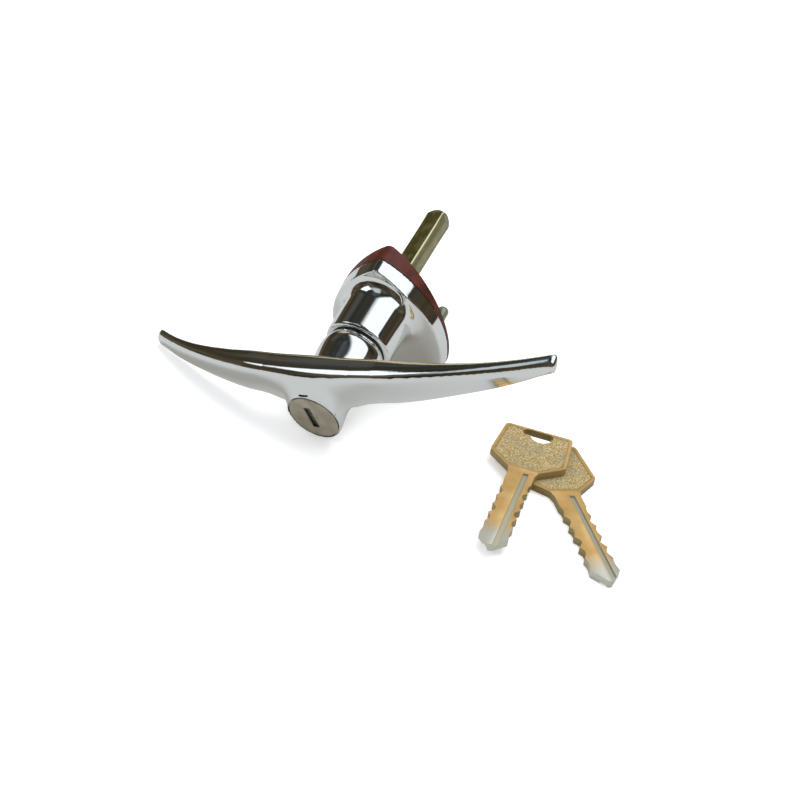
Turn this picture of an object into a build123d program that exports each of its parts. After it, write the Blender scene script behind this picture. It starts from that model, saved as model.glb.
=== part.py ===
from build123d import *
from math import cos, exp, radians, sin, sqrt
import os

# Car boot handle: a chromed T handle with a key lock in its hub, a pointed base with a rubber
# pad behind it, and a square spindle that turns the latch inside the boot lid. It lies on a
# table on its left tip, its hub and the foot of its base, with its two keys beside it.
#
# All sizes are in millimetres. The origin is on the spindle's axis, at the plane where the
# pad seats on the boot lid. +Z is up from the table, and the spindle points to +Y and up.

# How the handle lies
spindle_rise = 22.4        # angle of the spindle above the table
bar_roll = 18.5            # turn of the bar about the spindle, right tip up
base_turn = 15.0           # turn of the base from the bar, clockwise seen from outside

# Lengths along the spindle, each from the piece before it
sleeve_end_depth = 25.4    # back of the lock's sleeve, behind the lock's face
neck_foot_length = 1.5     # ring at the foot of the neck
shoulder_gap = 0.5         # between that ring and the collar
collar_cover = 1.2         # the bolt lies this far behind the collar's front face
collar_length = 17.5       # collar's front face to the flat front of the flange
flange_wall = 1.6          # metal between the flange's front and the hollow in its back
journal_lip = 0.7          # what is left of the journal behind the circlip's groove
journal_cover = 0.3        # how far the journal's end stays inside the base
pad_thick = 1.0            # flat part of the pad
spindle_reach = 43.3       # how far the spindle's rounded end is past the boot lid
cavity_room = 0.7          # room left behind the bolt
socket_wall = 2.0          # metal between that room and the spindle's socket
spindle_pin_inset = 7.0    # the cross pin, from the socket's floor

# Bar
bar_half = 71.2            # centre to tip
bar_ridge_depth = 3.1      # front edge of the bar's top, at the centre
bar_back_depth = 11.9      # back edge of the bar's top, at the centre
bar_low_depth = 4.7        # bottom edge of the bar's front, at the centre
bar_sweep = 15.7           # how far the front edge falls back from centre to tip
bar_low_sweep = 13.7       # how far the bottom edge falls back from centre to tip
bar_curl = 10.6            # how far the back edge curls at the tip
bar_ridge_up = 13.2        # height of the front edge over the spindle's axis
bar_back_up = 14.8         # height of the back edge over the spindle's axis
bar_low_up = 1.3           # height of the bottom edge, at the centre
bar_ridge_fall = 3.9
bar_back_fall = 4.7
bar_low_rise = 5.1
bar_web = 6.5              # how far the underside swoops down to the hub
bar_web_reach = 11.1       # half the width of that swoop
bar_front_bulge = 0.03     # bulge of the bar's front, as a share of its height
bar_swell = 0.13           # how much more the front bulges at the hub
bar_swell_reach = 12.0     # half the width of that swell
bar_crown = 0.13           # rise of the bar's top, as a share of its width
bar_front_round = 48.0     # how steeply the top starts at its front edge, degrees
bar_edge_radius = 0.8
bar_stations = 12          # sections from tip to tip, less one

# Hub, neck and journal, all radii about the spindle's axis
hub_rim_radius = 8.9
hub_waist_radius = 7.8     # the hub is slimmer behind its rim
hub_waist_depth = 8.0
brow_depth = 1.6           # the hub flares back and up into the bar, this deep
brow_rise = 1.7            # and this far up
brow_radius = 9.3
neck_radius = 9.5
neck_start_depth = 17.0
neck_bulge_radius = 10.3
neck_bulge_depth = 22.6
neck_end_radius = 9.8
neck_foot_radius = 9.5
journal_radius = 7.9
running_gap = 0.05         # radial clearance of a running fit
seat_gap = 0.03            # radial clearance of a fixed fit
face_gap = 0.1             # clearance between faces that slide past each other

# Lock
plug_head_radius = 8.0
plug_head_thick = 1.3
cap_thick = 0.4
plug_radius = 6.0
tail_radius = 3.9
tail_reach = 1.2           # round part of the tail behind the sleeve
tail_square = 4.0
cavity_radius = 6.0        # room for the cam, in the handle
keyway_height = 8.2
keyway_width = 2.5
keyway_side = -0.6         # the keyway is a little off the plug's middle
shutter_gap = 0.35         # the dust shutter hangs this far behind the cap
shutter_thick = 0.35
shutter_width = 2.95
shutter_height = 8.6
shutter_pivot = 0.95       # the shutter's pin, beside the plug's middle
shutter_pin_radius = 0.3
shutter_pin_length = 10.4
sleeve_radius = 6.9
sleeve_lip = 0.9           # thickness of the sleeve's back lip
wafer_count = 5
wafer_thick = 1.2
wafer_width = 7.0
wafer_window_width = 3.0
wafer_window_height = 7.8
wafer_window_shift = 0.4   # windows are cut high and low in turn
wafer_pitch = 3.5
first_wafer_depth = 6.0
wafer_spring_radius = 0.55
wafer_spring_length = 3.2
wafer_spring_offset = 4.25
clip_thick = 0.8
clip_radius = 5.2
clip_groove = 0.7          # depth of the groove that holds it
cam_radius = 5.0
cam_gap = 0.5              # behind the clip
cam_web = 1.6              # part of the cam with the square hole
cam_back = 1.6             # solid back of the cam
cam_pin_radius = 1.2
cam_pin_throw = 0.85
cam_pin_angle = 45.0       # from straight up, at rest
cam_pin_length = 2.9
bolt_gap = 0.3             # between the cam and the bolt
bolt_thick = 3.0
bolt_width = 7.0
bolt_top = 4.0
bolt_reach = 7.5           # how far down the bolt's end is from the axis at rest
bolt_travel = 1.2
stake_up = 8.95            # middle of the stake mark, over the axis
stake_side = 0.4
stake_length = 3.2
stake_width = 0.5
stake_depth = 1.3

# Seal ring between neck and collar
seal_radius = 9.3
seal_chamfer = 0.15

# Washers and circlip behind the base
washer_radius = 10.8
washer_thick = 0.8
spring_washer_thick = 0.5
spring_washer_dish = 0.6
circlip_radius = 9.6
circlip_thick = 0.8
circlip_groove = 0.6

# Base casting
collar_radius = 10.8
collar_lip_radius = 10.0   # the collar's front edge slopes back from here
collar_lip = 0.7           # how deep that slope is
collar_root_radius = 11.4
collar_cove = 5.0
flange_slope = 1.6         # how far the flange's front falls back from collar to edge
base_side_radius = 35.0
base_side_centre = 14.9    # how far each side arc's centre is past the middle line
base_side_drop = 13.9      # how far the side arcs' centres are below the axis
base_bottom = 27.4         # lowest edge, below the axis
base_bottom_bow = 1.2      # crown of the bottom edge
base_apex_radius = 3.2
base_corner_radius = 9.0
base_taper = 6.0
base_wall = 2.6
boss_radius = 3.2

# Pad, studs and spindle
pad_curve_radius = 82.0    # curve of the boot lid above the pad's flat part
pad_curve_sweep = 28.0     # angle of that curve
pad_flat_top = -12.5       # where the curve starts, against the axis
pad_depth_room = 20.0
pad_hole_radius = 5.5
stud_side = 15.5
stud_down = 7.6
stud_radius = 1.95
stud_root_radius = 2.2     # the stud is thicker where it is held in its boss
stud_step = 0.6            # how far that thick root stands out of the pad's flat part
stud_reach = 8.2           # how far a stud stands out past the boot lid's face
stud_embed = 3.4           # how far a stud is let into its boss
spindle_square = 6.35
spindle_socket_gap = 0.05
spindle_dome = 3.0
spindle_pin_radius = 1.25
spindle_pin_length = 14.8

# Keys
key_thick = 2.2
key_bow_top = 23.2         # top edge of the bow, over the shoulders
key_bow_wide_up = 6.3      # widest part of the bow, over the shoulders
key_top_half = 10.6
key_wide_half = 11.5
key_shoulder_half = 4.6
key_blade_half = 3.95
key_length = 38.0          # shoulders to tip
key_point = 4.0            # length of the pointed tip
key_bow_round = 1.6
key_slot_up = 20.9
key_slot_length = 9.6
key_slot_height = 3.0
key_bite_radius = 3.2
key_bite_side = 1.2
key_groove_width = 1.6
key_groove_depth = 0.6
key_groove_side = 1.3
key_gap = 0.05             # daylight between the two keys
upper_key_x = 60.9
upper_key_y = -33.8
upper_key_way = -85.7
lower_key_x = 74.3
lower_key_y = -34.4
lower_key_way = -56.9
key_neck_length = 2.5      # the blade narrows to its full width this far from the shoulders
key_tip_half = 0.6
cut_step = 0.1
cut_steps = (5, 11, 7, 13, 9, 4)
cut_land = 0.2
cut_first = 9.0
cut_last_room = 3.0        # last cut to the start of the point
cut_width = 1.2

os.makedirs("parts", exist_ok=True)

# Depths behind the lock's face that follow from the lock, the bolt and the stack of washers
clip_front = sleeve_end_depth + face_gap
cam_front = clip_front + clip_thick + cam_gap
tail_end_depth = sleeve_end_depth + tail_reach
tail_tip_depth = cam_front + cam_web
bolt_start_depth = tail_tip_depth + cam_back + bolt_gap
cavity_depth = bolt_start_depth + bolt_thick + cavity_room
spindle_socket_depth = cavity_depth + socket_wall
spindle_pin_depth = spindle_socket_depth + spindle_pin_inset
collar_front_depth = bolt_start_depth - collar_cover
shoulder_depth = collar_front_depth - shoulder_gap
neck_foot_depth = shoulder_depth - neck_foot_length
flange_front_depth = collar_front_depth + collar_length
pocket_depth = flange_front_depth + flange_wall
groove_front = pocket_depth + washer_thick + spring_washer_dish + spring_washer_thick + face_gap
journal_end_depth = groove_front + circlip_thick + journal_lip
base_back_depth = journal_end_depth + journal_cover
seat_depth = base_back_depth + pad_thick
spindle_tip_depth = seat_depth + spindle_reach
stud_root_depth = base_back_depth - stud_embed
stud_tip_depth = seat_depth + stud_reach
base_clear = base_bottom + base_bottom_bow + 8     # past the base's edge on every side

rise, roll = radians(spindle_rise), radians(bar_roll)
inward = Vector(0, cos(rise), sin(rise))
along_bar = Vector(cos(roll), -sin(roll) * sin(rise), sin(roll) * cos(rise))
seat = Plane(origin=(0, 0, 0), x_dir=along_bar, z_dir=inward * -1)
face = seat.offset(seat_depth)
side = Plane(origin=face.origin, x_dir=inward, z_dir=along_bar)
spindle_axis = Axis(origin=(0, 0, 0), direction=inward)
base_face = Plane(origin=face.origin, x_dir=along_bar.rotate(spindle_axis, base_turn),
                  z_dir=face.z_dir)
base_side = Plane(origin=face.origin, x_dir=inward, z_dir=base_face.x_dir)


def at_depth(depth, plane=face):
    """The plane at this depth behind the lock's face, seen from outside the car."""
    return plane.offset(-depth)


def save(piece, name):
    piece.part.label = name
    export_step(piece.part, f"parts/{name}.step")


# Handle: bar, hub, neck and journal in one casting
def bar_corners(x):
    """Front edge, back edge and bottom edge of the bar, x away from its centre."""
    u = abs(x) / bar_half
    swept = u ** 1.95
    web = bar_web * exp(-(x / bar_web_reach) ** 2)
    ridge = Vector(bar_ridge_depth + bar_sweep * swept, bar_ridge_up - bar_ridge_fall * u ** 2.6)
    back = Vector(bar_back_depth + bar_curl * u ** 4, bar_back_up - bar_back_fall * u ** 2)
    low = Vector(bar_low_depth + bar_low_sweep * swept, bar_low_up + bar_low_rise * u ** 2 - web)
    return ridge, back, low


def bulged(start, end, share):
    """A point beside the middle of a side, pushed out by a share of the side's length."""
    way = end - start
    return (start + end) * 0.5 + Vector(-way.Y, way.X) * share


def round_solid(corners, mode=Mode.ADD):
    """Turns a closed outline of (depth, radius) corners about the spindle's axis."""
    with BuildSketch(side) as profile:
        with BuildLine():
            Polyline(*corners, close=True)
        make_face()
    revolve(profile.sketch, axis=spindle_axis, mode=mode)


with BuildPart() as handle:
    for i in range(bar_stations + 1):
        x = bar_half * (2 * i / bar_stations - 1)
        ridge, back, low = bar_corners(x)
        with BuildSketch(side.offset(x)) as section:
            with BuildLine():
                swell = bar_front_bulge + bar_swell * exp(-(x / bar_swell_reach) ** 2)
                ThreePointArc(low, bulged(low, ridge, swell), ridge)
                top_way = back - ridge
                Spline(ridge, ridge + top_way * 0.35 + top_way.rotate(Axis.Z, 90) * bar_crown, back,
                       tangents=(top_way.rotate(Axis.Z, bar_front_round), top_way.rotate(Axis.Z, -16)))
                ThreePointArc(back, bulged(back, low, 0.2), low)
            make_face()
            fillet(section.vertices(), radius=min(bar_edge_radius, 0.22 * (back - ridge).length))
    loft()
    with BuildSketch(side):
        with BuildLine():
            Line((0, hub_rim_radius - 0.35), (0.35, hub_rim_radius))
            Spline((0.35, hub_rim_radius), (hub_waist_depth, hub_waist_radius),
                   (neck_start_depth, neck_radius), tangents=((1, 0), (1, 0.1)))
            Spline((neck_start_depth, neck_radius), (neck_bulge_depth, neck_bulge_radius),
                   (neck_foot_depth, neck_end_radius), tangents=((1, 0.1), (1, -0.45)))
            Polyline((neck_foot_depth, neck_end_radius), (neck_foot_depth, neck_foot_radius),
                     (shoulder_depth - 0.3, neck_foot_radius),
                     (shoulder_depth, neck_foot_radius - 0.3), (shoulder_depth, journal_radius),
                     (journal_end_depth, journal_radius), (journal_end_depth, 0), (0, 0),
                     (0, hub_rim_radius - 0.35))
        make_face()
    revolve(axis=spindle_axis)
    for depth, up, radius in ((0, 0.15, hub_rim_radius - 0.1), (brow_depth, brow_rise, brow_radius),
                              (2 * brow_depth, 2 * brow_rise, brow_radius),
                              (bar_back_depth - 2 * brow_depth, 2 * brow_rise, brow_radius)):
        with BuildSketch(at_depth(depth)):
            with Locations((0, up)):
                Circle(radius)
    loft()
    groove_radius = journal_radius - circlip_groove
    round_solid([(groove_front, groove_radius), (groove_front, 2 * journal_radius),
                 (groove_front + circlip_thick + seat_gap, 2 * journal_radius),
                 (groove_front + circlip_thick + seat_gap, groove_radius)], Mode.SUBTRACT)
    head_floor = cap_thick + plug_head_thick + face_gap
    bore = sleeve_radius + seat_gap
    round_solid([(-1, 0), (-1, plug_head_radius + running_gap),
                 (head_floor, plug_head_radius + running_gap), (head_floor, bore),
                 (sleeve_end_depth, bore), (sleeve_end_depth, cavity_radius),
                 (cavity_depth, cavity_radius), (cavity_depth, 0)], Mode.SUBTRACT)
    with BuildSketch(at_depth(bolt_start_depth - face_gap)):
        with Locations((0, -journal_radius)):
            Rectangle(bolt_width + 2 * running_gap, 2 * journal_radius)
    extrude(amount=-(bolt_thick + 2 * face_gap), mode=Mode.SUBTRACT)
    with BuildSketch(at_depth(spindle_socket_depth)):
        Rectangle(spindle_square + 2 * spindle_socket_gap, spindle_square + 2 * spindle_socket_gap)
    extrude(amount=-(journal_end_depth - spindle_socket_depth + 1), mode=Mode.SUBTRACT)
    with BuildSketch(Plane(origin=at_depth(spindle_pin_depth).origin, x_dir=inward,
                           z_dir=along_bar)):
        Circle(spindle_pin_radius + seat_gap)
    extrude(amount=2 * journal_radius, both=True, mode=Mode.SUBTRACT)
    with BuildSketch(face):
        with Locations((stake_side, stake_up)):
            Rectangle(stake_length, stake_width)
    extrude(amount=-stake_depth, mode=Mode.SUBTRACT)
save(handle, "handle")

# Lock sleeve, held in the hub's bore by the stake mark above it
with BuildPart() as lock_sleeve:
    lip_front = sleeve_end_depth - sleeve_lip
    round_solid([(head_floor + face_gap, plug_radius + running_gap),
                 (head_floor + face_gap, sleeve_radius), (sleeve_end_depth, sleeve_radius),
                 (sleeve_end_depth, tail_radius + running_gap),
                 (lip_front, tail_radius + running_gap), (lip_front, plug_radius + running_gap)])
save(lock_sleeve, "lock_sleeve")

# Lock plug with its keyway, the shutter's pocket and its wafer slots
wafer_depths = [first_wafer_depth + i * wafer_pitch for i in range(wafer_count)]
plug_body_end = lip_front - face_gap
shutter_front = cap_thick + shutter_gap
shutter_plane = Plane(origin=at_depth(shutter_front + shutter_thick / 2).origin
                      + along_bar * shutter_pivot, x_dir=along_bar, z_dir=face.y_dir)
with BuildPart() as lock_plug:
    round_solid([(cap_thick, 0), (cap_thick, plug_head_radius - 0.3),
                 (cap_thick + plug_head_thick, plug_head_radius - 0.3),
                 (cap_thick + plug_head_thick, plug_radius), (plug_body_end, plug_radius),
                 (plug_body_end, tail_radius), (tail_end_depth, tail_radius), (tail_end_depth, 0)])
    round_solid([(clip_front, tail_radius - clip_groove), (clip_front, plug_radius),
                 (clip_front + clip_thick + seat_gap, plug_radius),
                 (clip_front + clip_thick + seat_gap, tail_radius - clip_groove)], Mode.SUBTRACT)
    with BuildSketch(at_depth(tail_end_depth)):
        Rectangle(tail_square, tail_square)
    extrude(amount=-(tail_tip_depth - tail_end_depth))
    with BuildSketch(at_depth(cap_thick)):
        with Locations((keyway_side, 0)):
            Rectangle(keyway_width, keyway_height)
    extrude(amount=-(plug_body_end - 1.5 - cap_thick), mode=Mode.SUBTRACT)
    with BuildSketch(at_depth(cap_thick)):
        with Locations((shutter_pivot - shutter_width / 2 + 0.1, 0)):
            Rectangle(shutter_width + 0.6, shutter_height + 0.2)
    extrude(amount=-(shutter_gap + shutter_width + 0.4), mode=Mode.SUBTRACT)
    with BuildSketch(shutter_plane):
        Circle(shutter_pin_radius + running_gap)
    extrude(amount=shutter_pin_length / 2 + face_gap, both=True, mode=Mode.SUBTRACT)
    for depth in wafer_depths:
        with BuildSketch(at_depth(depth - seat_gap)):
            Rectangle(wafer_width + 2 * running_gap, 2 * plug_radius + 1)
        extrude(amount=-(wafer_thick + 2 * seat_gap), mode=Mode.SUBTRACT)
        with BuildSketch(at_depth(depth - 0.1)):
            with Locations((wafer_spring_offset, 0)):
                Rectangle(2 * wafer_spring_radius + 0.1, wafer_spring_length + 0.1)
        extrude(amount=-(wafer_thick + 0.2), mode=Mode.SUBTRACT)
save(lock_plug, "lock_plug")

# Pressed cap over the plug's head
with BuildPart() as plug_cap:
    round_solid([(0, 0), (0, plug_head_radius - 0.15), (0.15, plug_head_radius),
                 (cap_thick + plug_head_thick, plug_head_radius),
                 (cap_thick + plug_head_thick, plug_head_radius - 0.3 + seat_gap),
                 (cap_thick, plug_head_radius - 0.3 + seat_gap), (cap_thick, 0)])
    with BuildSketch(face):
        with Locations((keyway_side, 0)):
            Rectangle(keyway_width - 0.2, keyway_height)
    extrude(amount=-cap_thick, mode=Mode.SUBTRACT)
save(plug_cap, "plug_cap")

# Dust shutter, a sprung flap that the key pushes in about the pin at its edge
with BuildPart() as keyway_shutter:
    with BuildSketch(at_depth(shutter_front)):
        with Locations((shutter_pivot - shutter_width / 2, 0)):
            Rectangle(shutter_width, shutter_height)
    extrude(amount=-shutter_thick)
    with BuildSketch(shutter_plane):
        Circle(shutter_pin_radius)
    extrude(amount=shutter_pin_length / 2, both=True)
save(keyway_shutter, "keyway_shutter")

# Wafers, each a plate with a window that the key passes through
for i, depth in enumerate(wafer_depths):
    with BuildPart() as wafer:
        with BuildSketch(at_depth(depth)):
            Circle(plug_radius - 0.05)
            Rectangle(wafer_width, 2 * plug_radius, mode=Mode.INTERSECT)
            with Locations((keyway_side, wafer_window_shift if i % 2 else -wafer_window_shift)):
                Rectangle(wafer_window_width, wafer_window_height, mode=Mode.SUBTRACT)
        extrude(amount=-wafer_thick)
    save(wafer, f"wafer_{i + 1}")

# Wafer springs, one beside each wafer
with BuildPart() as wafer_springs:
    for depth in wafer_depths:
        spring_way = face.y_dir
        foot = (at_depth(depth + wafer_thick / 2).origin + along_bar * wafer_spring_offset
                - spring_way * (wafer_spring_length / 2))
        with BuildSketch(Plane(origin=foot, x_dir=along_bar, z_dir=spring_way)):
            Circle(wafer_spring_radius)
        extrude(amount=wafer_spring_length)
save(wafer_springs, "wafer_springs")

# Clip that holds the plug in its sleeve
with BuildPart() as plug_clip:
    with BuildSketch(at_depth(clip_front)):
        Circle(clip_radius)
        Circle(tail_radius - clip_groove + seat_gap, mode=Mode.SUBTRACT)
        with Locations((0, clip_radius)):
            Rectangle(3.0, 2 * clip_radius, mode=Mode.SUBTRACT)
    extrude(amount=-clip_thick)
save(plug_clip, "plug_clip")

# Cam on the plug's tail, with the pin that moves the bolt
pin_x = cam_pin_throw * sin(radians(cam_pin_angle))
pin_y = cam_pin_throw * cos(radians(cam_pin_angle))
with BuildPart() as drive_cam:
    with BuildSketch(at_depth(cam_front)):
        Circle(cam_radius)
        Rectangle(tail_square + 2 * seat_gap, tail_square + 2 * seat_gap, mode=Mode.SUBTRACT)
    extrude(amount=-(tail_tip_depth - cam_front))
    with BuildSketch(at_depth(tail_tip_depth)):
        Circle(cam_radius)
    extrude(amount=-cam_back)
    with BuildSketch(at_depth(tail_tip_depth + cam_back)):
        with Locations((pin_x, pin_y)):
            Circle(cam_pin_radius)
    extrude(amount=-cam_pin_length)
save(drive_cam, "drive_cam")

# Lock bolt, which the cam pin pushes down out of the journal into the collar
with BuildPart() as lock_bolt:
    with BuildSketch(at_depth(bolt_start_depth)):
        with Locations((0, (bolt_top - bolt_reach) / 2)):
            Rectangle(bolt_width, bolt_top + bolt_reach)
        Circle(bolt_reach, mode=Mode.INTERSECT)
        with Locations((0, pin_y)):
            Rectangle(2 * (cam_pin_throw + cam_pin_radius) + 0.6, 2 * (cam_pin_radius + face_gap),
                      mode=Mode.SUBTRACT)
    extrude(amount=-bolt_thick)
save(lock_bolt, "lock_bolt")

# Seal ring in the gap between the neck and the collar
with BuildPart() as shank_seal:
    round_solid([(shoulder_depth + face_gap, journal_radius + running_gap),
                 (shoulder_depth + face_gap, seal_radius - seal_chamfer),
                 (shoulder_depth + face_gap + seal_chamfer, seal_radius),
                 (collar_front_depth - seal_chamfer, seal_radius),
                 (collar_front_depth, seal_radius - seal_chamfer),
                 (collar_front_depth, journal_radius + running_gap)])
save(shank_seal, "shank_seal")


# Base casting: pointed flange with the collar standing out of it. The bolt drops into a notch
# in the collar with the handle as it lies here, and with it a quarter turn on.
def base_shape(plane, inset=0.0):
    """The base's outline on a plane, drawn in from its edge by the inset: two long side arcs
    that meet at a rounded top, and a bowed bottom edge with round corners."""
    side_radius, bottom = base_side_radius - inset, base_bottom - inset
    top = sqrt(side_radius ** 2 - base_side_centre ** 2) - base_side_drop
    corner = sqrt(side_radius ** 2 - (bottom - base_side_drop) ** 2) - base_side_centre
    widest = side_radius - base_side_centre
    with BuildSketch(plane) as shape:
        with BuildLine():
            ThreePointArc((0, top), (widest, -base_side_drop), (corner, -bottom))
            ThreePointArc((corner, -bottom), (0, -bottom - base_bottom_bow), (-corner, -bottom))
            ThreePointArc((-corner, -bottom), (-widest, -base_side_drop), (0, top))
        make_face()
        fillet(shape.vertices().sort_by(Axis.Y)[-1], radius=base_apex_radius - inset)
        fillet(shape.vertices().sort_by(Axis.Y)[:2], radius=base_corner_radius - inset)
    return shape.sketch


with BuildPart() as escutcheon:
    base_back = at_depth(base_back_depth, base_face)
    extrude(base_shape(base_back), amount=base_back_depth - collar_front_depth, taper=base_taper)
    with BuildSketch(base_side):
        with BuildLine():
            Line((collar_front_depth, collar_lip_radius),
                 (collar_front_depth + collar_lip, collar_radius))
            outline = FilletPolyline((collar_front_depth + collar_lip, collar_radius),
                                     (flange_front_depth, collar_root_radius),
                                     (flange_front_depth + flange_slope, base_clear),
                                     radius=collar_cove)
            Polyline(outline @ 1, (base_back_depth, base_clear), (base_back_depth, 0),
                     (collar_front_depth, 0), (collar_front_depth, collar_lip_radius))
        make_face()
    revolve(axis=spindle_axis, mode=Mode.INTERSECT)
    round_solid([(collar_front_depth - 1, 0), (collar_front_depth - 1, journal_radius + running_gap),
                 (base_back_depth + 1, journal_radius + running_gap), (base_back_depth + 1, 0)],
                Mode.SUBTRACT)
    extrude(base_shape(base_back, base_wall), amount=base_back_depth - pocket_depth,
            mode=Mode.SUBTRACT)
    with BuildSketch(base_back):
        with Locations((stud_side, -stud_down), (-stud_side, -stud_down)):
            Circle(boss_radius)
    extrude(amount=base_back_depth - pocket_depth)
    with BuildSketch(base_back):
        with Locations((stud_side, -stud_down), (-stud_side, -stud_down)):
            Circle(stud_root_radius + seat_gap)
    extrude(amount=base_back_depth - stud_root_depth, mode=Mode.SUBTRACT)
    notch_reach = bolt_reach + bolt_travel + 0.9
    for turn in (0, -90):
        notch_face = Plane(origin=face.origin, x_dir=along_bar.rotate(spindle_axis, turn),
                           z_dir=face.z_dir)
        with BuildSketch(at_depth(bolt_start_depth - face_gap, notch_face)):
            with Locations((0, -notch_reach / 2)):
                Rectangle(bolt_width + 0.6, notch_reach)
        extrude(amount=-(bolt_thick + 2 * face_gap), mode=Mode.SUBTRACT)
save(escutcheon, "escutcheon")

# Rubber pad behind the base, thick where the boot lid curves away
with BuildPart() as mounting_pad:
    extrude(base_shape(base_back), amount=-pad_depth_room)
    with BuildSketch(base_side):
        with BuildLine():
            Polyline((base_back_depth, base_clear), (base_back_depth, -base_clear),
                     (seat_depth, -base_clear), (seat_depth, pad_flat_top))
            bend = radians(pad_curve_sweep)
            curve_end = (seat_depth + pad_curve_radius * (1 - cos(bend)),
                         pad_flat_top + pad_curve_radius * sin(bend))
            ThreePointArc((seat_depth, pad_flat_top),
                          (seat_depth + pad_curve_radius * (1 - cos(bend / 2)),
                           pad_flat_top + pad_curve_radius * sin(bend / 2)), curve_end)
            Polyline(curve_end, (curve_end[0], base_clear), (base_back_depth, base_clear))
        make_face()
    extrude(amount=base_clear, both=True, mode=Mode.INTERSECT)
    with BuildSketch(base_back):
        Circle(pad_hole_radius)
        with Locations((stud_side, -stud_down), (-stud_side, -stud_down)):
            Circle(stud_root_radius + seat_gap)
    extrude(amount=-pad_depth_room, mode=Mode.SUBTRACT)
save(mounting_pad, "mounting_pad")

# Two studs that hold the base to the boot lid
with BuildPart() as fixing_studs:
    for x in (stud_side, -stud_side):
        with BuildSketch(at_depth(stud_root_depth, base_face)):
            with Locations((x, -stud_down)):
                Circle(stud_root_radius)
        extrude(amount=-(seat_depth + stud_step - stud_root_depth))
        with BuildSketch(at_depth(seat_depth + stud_step, base_face)):
            with Locations((x, -stud_down)):
                Circle(stud_radius)
        extrude(amount=-(stud_tip_depth - seat_depth - stud_step))
    fillet(fixing_studs.faces().sort_by(spindle_axis)[-2:].edges(), radius=stud_radius * 0.8)
save(fixing_studs, "fixing_studs")

# Spindle: square bar with a domed end, held in the journal by a cross pin
with BuildPart() as spindle:
    with BuildSketch(at_depth(spindle_socket_depth + face_gap)):
        Rectangle(spindle_square, spindle_square)
    extrude(amount=-(spindle_tip_depth - spindle_socket_depth - face_gap))
    with BuildSketch(Plane(origin=at_depth(spindle_pin_depth).origin, x_dir=inward,
                           z_dir=along_bar)):
        Circle(spindle_pin_radius + seat_gap)
    extrude(amount=spindle_square, both=True, mode=Mode.SUBTRACT)
    dome_start = spindle_tip_depth - spindle_dome
    corner = spindle_square / sqrt(2) + 0.05
    with BuildSketch(side):
        with BuildLine():
            Polyline((dome_start, corner), (spindle_socket_depth, corner),
                     (spindle_socket_depth, 0), (spindle_tip_depth, 0))
            ThreePointArc((spindle_tip_depth, 0), (spindle_tip_depth - 0.6, corner * 0.55),
                          (dome_start, corner))
        make_face()
    revolve(axis=spindle_axis, mode=Mode.INTERSECT)
save(spindle, "spindle")

with BuildPart() as spindle_pin:
    with BuildSketch(Plane(origin=at_depth(spindle_pin_depth).origin, x_dir=inward,
                           z_dir=along_bar)):
        Circle(spindle_pin_radius)
    extrude(amount=spindle_pin_length / 2, both=True)
save(spindle_pin, "spindle_pin")

# Washers and circlip on the journal, in the hollow of the base
with BuildPart() as thrust_washer:
    round_solid([(pocket_depth, journal_radius + running_gap), (pocket_depth, washer_radius),
                 (pocket_depth + washer_thick, washer_radius),
                 (pocket_depth + washer_thick, journal_radius + running_gap)])
save(thrust_washer, "thrust_washer")

spring_front = pocket_depth + washer_thick + face_gap
with BuildPart() as spring_washer:
    inner = journal_radius + seat_gap
    round_solid([(spring_front, washer_radius - 0.4),
                 (spring_front + spring_washer_thick, washer_radius - 0.4),
                 (spring_front + spring_washer_dish + spring_washer_thick, inner),
                 (spring_front + spring_washer_dish, inner)])
save(spring_washer, "spring_washer")

with BuildPart() as shank_circlip:
    with BuildSketch(at_depth(groove_front + seat_gap / 2)):
        Circle(circlip_radius)
        Circle(groove_radius + seat_gap, mode=Mode.SUBTRACT)
        with Locations((0, -circlip_radius)):
            Rectangle(4.0, circlip_radius, mode=Mode.SUBTRACT)
    extrude(amount=-circlip_thick)
save(shank_circlip, "shank_circlip")


# Keys
cut_pitch = (key_length - key_point - cut_first - cut_last_room) / (len(cut_steps) - 1)


def key_cut_edge(sign):
    """Corners of one wavy edge of the blade, from the shoulder to the tip."""
    points = [(sign * key_shoulder_half, 0), (sign * key_blade_half, -key_neck_length)]
    for i, steps in enumerate(cut_steps):
        y = -(cut_first + i * cut_pitch)
        cut = cut_step * steps
        points.append((sign * key_blade_half, y + cut_pitch / 2 - cut_land))
        points.append((sign * (key_blade_half - cut), y + cut_width / 2))
        points.append((sign * (key_blade_half - cut), y - cut_width / 2))
    points.append((sign * key_blade_half, -(key_length - key_point)))
    return points


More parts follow.
